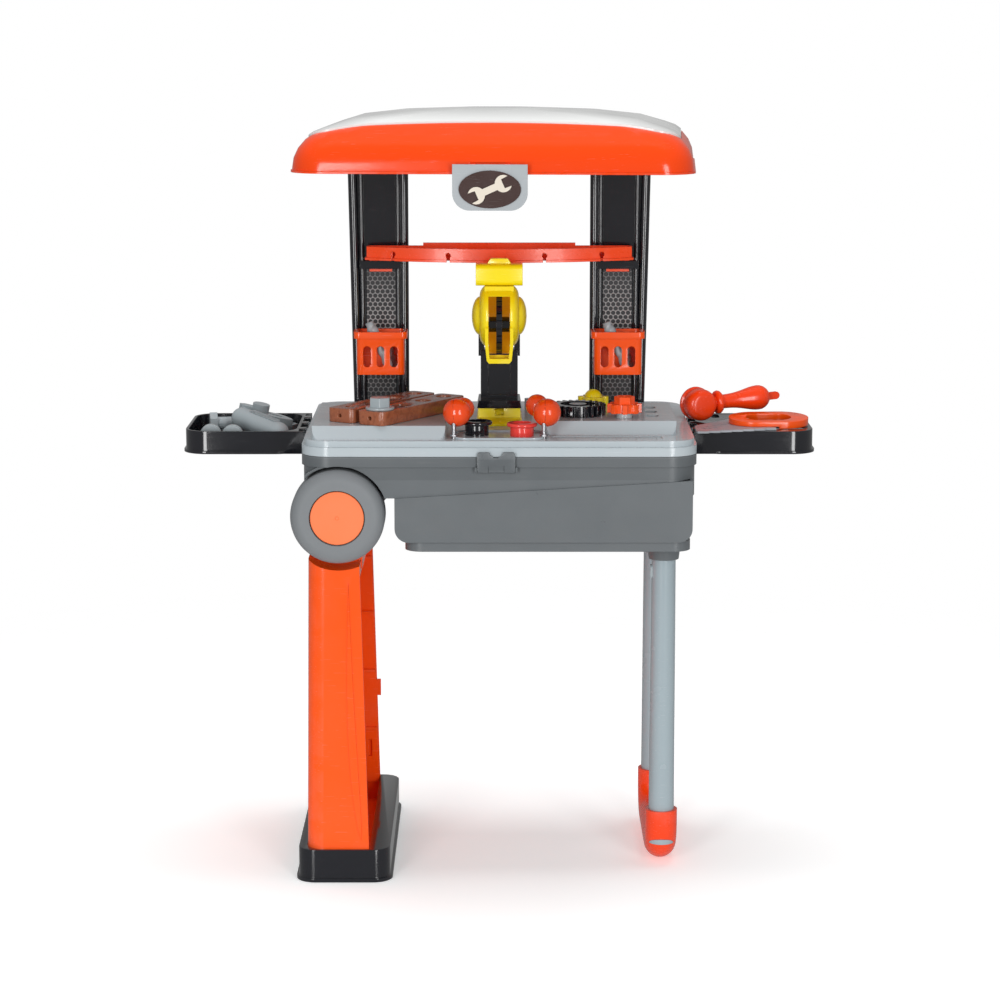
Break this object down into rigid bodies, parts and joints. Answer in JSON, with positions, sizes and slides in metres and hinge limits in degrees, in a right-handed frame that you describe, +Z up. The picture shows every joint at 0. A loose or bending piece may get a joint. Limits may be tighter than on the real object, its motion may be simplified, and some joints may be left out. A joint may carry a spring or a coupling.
{
  "type": "toy workbench",
  "caption": "Toy tool bench in a wheeled case: hinged worktop on a tub, posts with shelf and baskets, domed roof, side trays, toy tools, one box leg and a U-shaped tube leg.",
  "frame": {"origin": "middle of the footprint on the floor", "axes": "+Z up, +X to the right as seen from the front, +Y to the back"},
  "size_m": [0.654, 0.312, 0.7819],
  "materials": {
    "tub_grey": "dark grey moulded shell, light scratches",
    "wheel_grey": "matte grey",
    "orange_matte": "matte orange",
    "top_grey": "light grey, glossy",
    "black_gloss": "glossy black",
    "honeycomb": "printed hexagonal dots",
    "orange_gloss": "glossy orange",
    "badge_brown": "dark brown plate with a plain spanner shape",
    "red_gloss": "glossy red-orange",
    "toy_grey": "light grey, moulded like metal",
    "yellow_gloss": "glossy yellow",
    "brown_gloss": "brown, moulded grain marks",
    "tube_grey": "blue-grey tube",
    "steel": "plain steel"
  },
  "bodies": {
    "case": {"case_tub": "tub_grey", "case_floor": "tub_grey", "leg_socket": "tub_grey", "axle": "steel", "wheel_retainers": "steel", "hinge_pins": "steel", "case_screws": "steel"},
    "front_wheel": {"wheel_front": "wheel_grey", "hubcap_front": "orange_matte"},
    "rear_wheel": {"wheel_rear": "wheel_grey", "hubcap_rear": "orange_matte"},
    "clip": {"latch": "tub_grey"},
    "lid": {"worktop": "top_grey", "post_left": "black_gloss", "post_right": "black_gloss", "inlay_left": "honeycomb", "inlay_right": "honeycomb", "saw_base": "yellow_gloss", "saw_column": "black_gloss", "cup_black": "black_gloss", "cup_red": "red_gloss"},
    "roof": {"roof_shell": "orange_gloss", "roof_panel": "top_grey"},
    "badge": {"badge_tab": "top_grey", "badge_plate": "badge_brown"},
    "tool_shelf": {"shelf": "red_gloss"},
    "left_basket": {"basket_left": "orange_gloss"},
    "right_basket": {"basket_right": "orange_gloss"},
    "left_bits": {"bits_left": "toy_grey"},
    "right_bits": {"bits_right": "toy_grey"},
    "saw_head": {"saw_guard": "yellow_gloss", "saw_handle": "yellow_gloss"},
    "saw_disc": {"saw_blade": "black_gloss"},
    "left_driver": {"driver_left_handle": "orange_gloss", "driver_left_shaft": "steel"},
    "right_driver": {"driver_right_handle": "orange_gloss", "driver_right_shaft": "steel"},
    "black_gear": {"gear_black": "black_gloss"},
    "orange_gear": {"gear_orange": "orange_gloss"},
    "yellow_gear": {"gear_yellow": "yellow_gloss"},
    "front_plank": {"plank_front": "brown_gloss"},
    "rear_plank": {"plank_rear": "brown_gloss"},
    "bolt": {"hex_bolt": "toy_grey"},
    "toy_hammer": {"hammer": "red_gloss"},
    "toy_handsaw": {"handsaw_blade": "toy_grey", "handsaw_grip": "orange_gloss"},
    "tray_tools": {"spanner": "toy_grey", "pliers": "toy_grey", "toy_nuts": "toy_grey"},
    "left_leg": {"leg_shell": "orange_gloss", "leg_panel": "orange_gloss", "leg_foot": "black_gloss"},
    "right_legs": {"tube_front": "tube_grey", "tube_rear": "tube_grey", "leg_grip": "red_gloss"},
    "front_button": {"button_front": "toy_grey"},
    "rear_button": {"button_rear": "toy_grey"},
    "left_tray": {"tray_left": "black_gloss"},
    "right_tray": {"tray_right": "black_gloss"}
  },
  "joints": [
    {"name": "front_wheel_turn", "type": "hinge", "parent": "case", "child": "front_wheel", "pos_m": [-0.162, -0.138, 0.381], "axis": [0, 1, 0], "continuous": true},
    {"name": "rear_wheel_turn", "type": "hinge", "parent": "case", "child": "rear_wheel", "pos_m": [-0.162, 0.138, 0.381], "axis": [0, 1, 0], "continuous": true},
    {"name": "clip_swing", "type": "hinge", "parent": "case", "child": "clip", "pos_m": [-0.003, -0.1464, 0.429], "axis": [1, 0, 0], "range_deg": [0, 60]},
    {"name": "lid_open", "type": "hinge", "parent": "case", "child": "lid", "pos_m": [0, 0.149, 0.445], "axis": [-1, 0, 0], "range_deg": [0, 70]},
    {"name": "roof_lift", "type": "slide", "parent": "lid", "child": "roof", "axis": [0, 0, 1], "range_m": [0, 0.04]},
    {"name": "badge_flap", "type": "hinge", "parent": "roof", "child": "badge", "pos_m": [-0.0088, -0.14393, 0.7295], "axis": [-0.9981, 0.0611, 0], "range_deg": [0, 85]},
    {"name": "shelf_lift", "type": "slide", "parent": "lid", "child": "tool_shelf", "axis": [0, 0, 1], "range_m": [0, 0.02]},
    {"name": "left_basket_lift", "type": "slide", "parent": "lid", "child": "left_basket", "axis": [0, 0, 1], "range_m": [0, 0.02]},
    {"name": "right_basket_lift", "type": "slide", "parent": "lid", "child": "right_basket", "axis": [0, 0, 1], "range_m": [0, 0.02]},
    {"name": "left_bits_lift", "type": "slide", "parent": "left_basket", "child": "left_bits", "axis": [0, 0, 1], "range_m": [0, 0.045]},
    {"name": "right_bits_lift", "type": "slide", "parent": "right_basket", "child": "right_bits", "axis": [0, 0, 1], "range_m": [0, 0.045]},
    {"name": "saw_head_tilt", "type": "hinge", "parent": "lid", "child": "saw_head", "pos_m": [0, 0.01, 0.545], "axis": [1, 0, 0], "range_deg": [0, 30]},
    {"name": "saw_disc_turn", "type": "hinge", "parent": "saw_head", "child": "saw_disc", "pos_m": [0, -0.036, 0.562], "axis": [1, 0, 0], "continuous": true},
    {"name": "left_driver_lift", "type": "slide", "parent": "lid", "child": "left_driver", "axis": [0, 0, 1], "range_m": [0, 0.03]},
    {"name": "right_driver_lift", "type": "slide", "parent": "lid", "child": "right_driver", "axis": [0, 0, 1], "range_m": [0, 0.03]},
    {"name": "black_gear_turn", "type": "hinge", "parent": "lid", "child": "black_gear", "pos_m": [0.081, -0.045, 0.475], "axis": [0, 0, 1], "continuous": true},
    {"name": "orange_gear_turn", "type": "hinge", "parent": "lid", "child": "orange_gear", "pos_m": [0.128, -0.066, 0.478], "axis": [0, 0, 1], "continuous": true},
    {"name": "yellow_gear_lift", "type": "slide", "parent": "lid", "child": "yellow_gear", "axis": [0, 0, 1], "range_m": [0, 0.014]},
    {"name": "front_plank_lift", "type": "slide", "parent": "lid", "child": "front_plank", "axis": [0, 0, 1], "range_m": [0, 0.03]},
    {"name": "rear_plank_lift", "type": "slide", "parent": "lid", "child": "rear_plank", "axis": [0, 0, 1], "range_m": [0, 0.018]},
    {"name": "bolt_lift", "type": "slide", "parent": "front_plank", "child": "bolt", "axis": [0, 0, 1], "range_m": [0, 0.03]},
    {"name": "left_tray_lift", "type": "slide", "parent": "lid", "child": "left_tray", "axis": [0, 0, 1], "range_m": [0, 0.025]},
    {"name": "right_tray_lift", "type": "slide", "parent": "lid", "child": "right_tray", "axis": [0, 0, 1], "range_m": [0, 0.025]},
    {"name": "hammer_lift", "type": "slide", "parent": "right_tray", "child": "toy_hammer", "axis": [0, 0, 1], "range_m": [0, 0.03]},
    {"name": "handsaw_lift", "type": "slide", "parent": "right_tray", "child": "toy_handsaw", "axis": [0, 0, 1], "range_m": [0, 0.006]},
    {"name": "tray_tools_lift", "type": "slide", "parent": "left_tray", "child": "tray_tools", "axis": [0, 0, 1], "range_m": [0, 0.03]},
    {"name": "left_leg_pull", "type": "slide", "parent": "case", "child": "left_leg", "axis": [0, 0, -1], "range_m": [0, 0.05]},
    {"name": "right_legs_pull", "type": "slide", "parent": "case", "child": "right_legs", "axis": [0, 0, -1], "range_m": [0, 0.04]},
    {"name": "front_button_press", "type": "slide", "parent": "right_legs", "child": "front_button", "axis": [1, 0, 0], "range_m": [0, 0.003], "stiffness_N_per_m": 400},
    {"name": "rear_button_press", "type": "slide", "parent": "right_legs", "child": "rear_button", "axis": [1, 0, 0], "range_m": [0, 0.003], "stiffness_N_per_m": 400}
  ]
}
